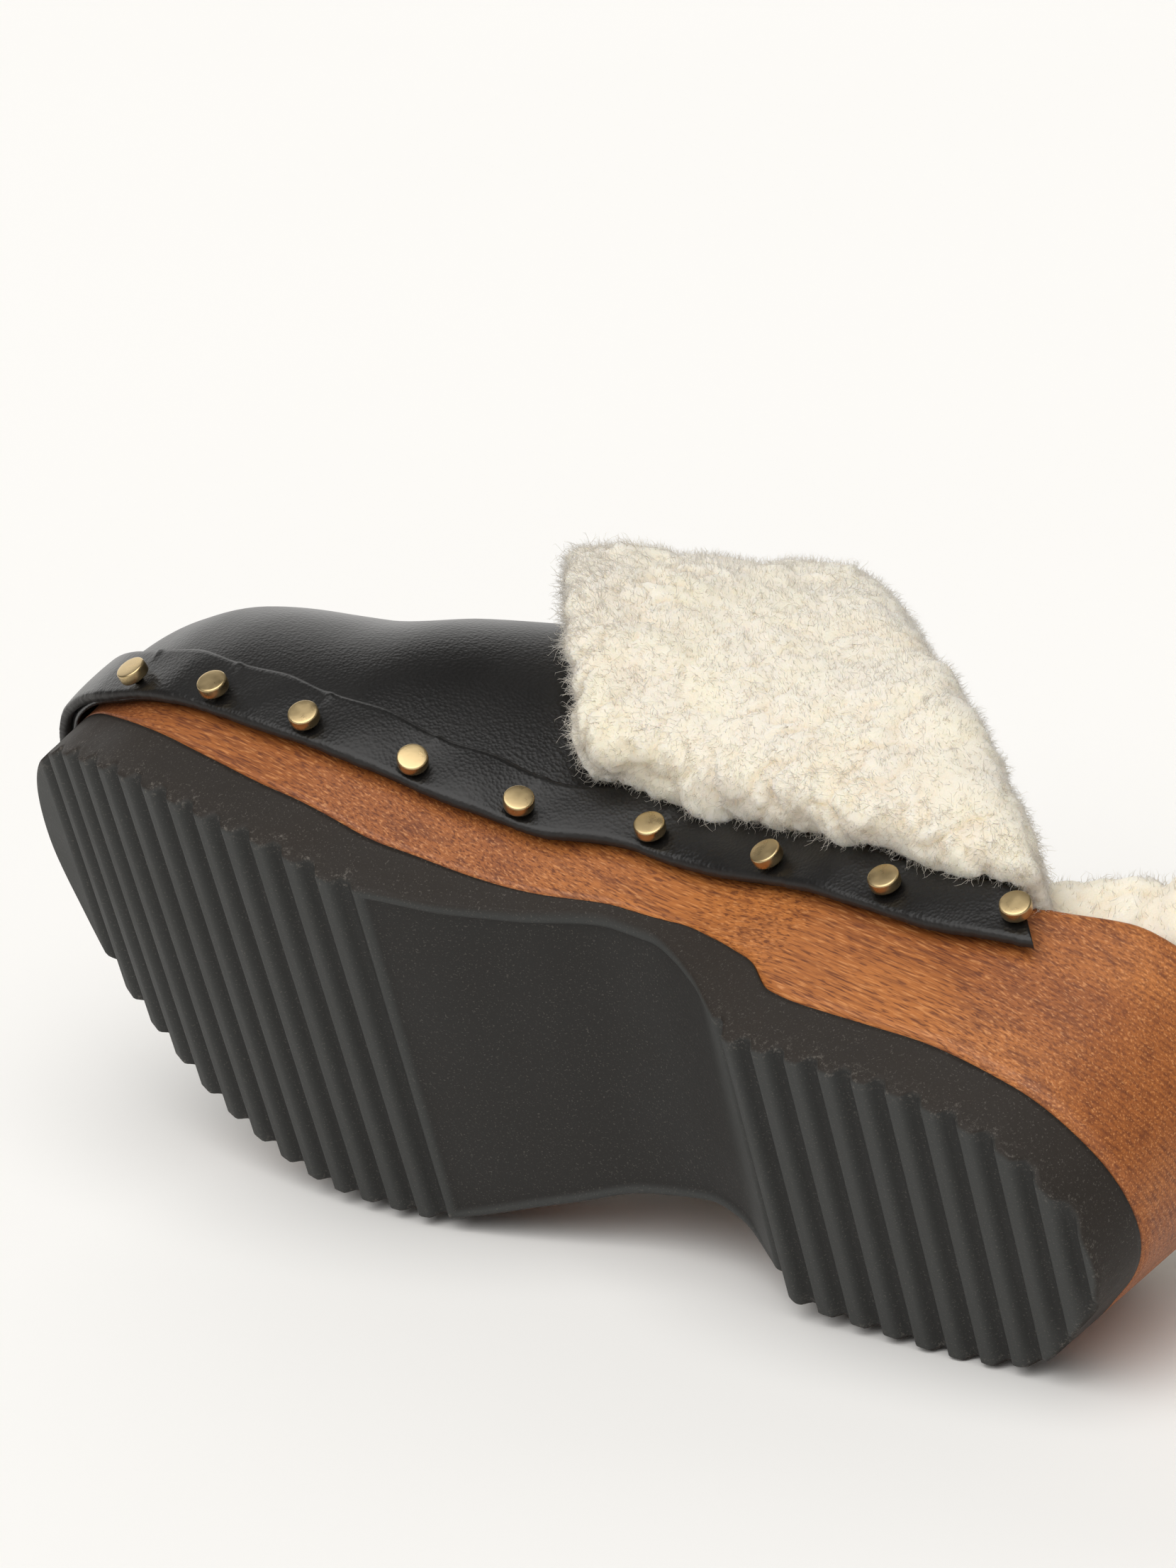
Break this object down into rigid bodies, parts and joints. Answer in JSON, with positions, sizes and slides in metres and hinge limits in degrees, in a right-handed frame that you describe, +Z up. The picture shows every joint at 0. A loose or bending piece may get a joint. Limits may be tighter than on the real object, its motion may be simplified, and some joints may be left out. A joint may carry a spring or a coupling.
{
  "type": "wooden clog",
  "caption": "Right-foot clog: carved wooden sole on ribbed rubber, black leather vamp nailed round the edge through a rand, with a shearling cuff, lining and footbed.",
  "frame": {"origin": "on the ground, under the middle of the bounding box", "axes": "+X from toe to heel, +Y to the outer side of the foot, -Y to the inner side (big toe), +Z up"},
  "size_m": [0.2702, 0.1182, 0.1296],
  "materials": {
    "rubber": "matt, fine speckle, sanded sides",
    "wood": "satin stained hardwood with fine grain",
    "leather": "smooth black calf with a soft sheen",
    "shearling": "cream wool pile",
    "stiffener": "matt felted sheet",
    "brass": "polished, slightly worn"
  },
  "bodies": {
    "root": {"outsole": "rubber", "wooden_sole": "wood", "footbed_fleece": "shearling", "vamp": "leather", "toe_puff": "stiffener", "lining_fleece": "shearling", "cuff_fleece": "shearling", "rand": "leather", "nail_01": "brass", "nail_02": "brass", "nail_03": "brass", "nail_04": "brass", "nail_05": "brass", "nail_06": "brass", "nail_07": "brass", "nail_08": "brass", "nail_09": "brass", "nail_10": "brass", "nail_11": "brass", "nail_12": "brass", "nail_13": "brass", "nail_14": "brass", "nail_15": "brass", "nail_16": "brass", "nail_17": "brass", "nail_18": "brass", "nail_19": "brass"}
  },
  "joints": []
}
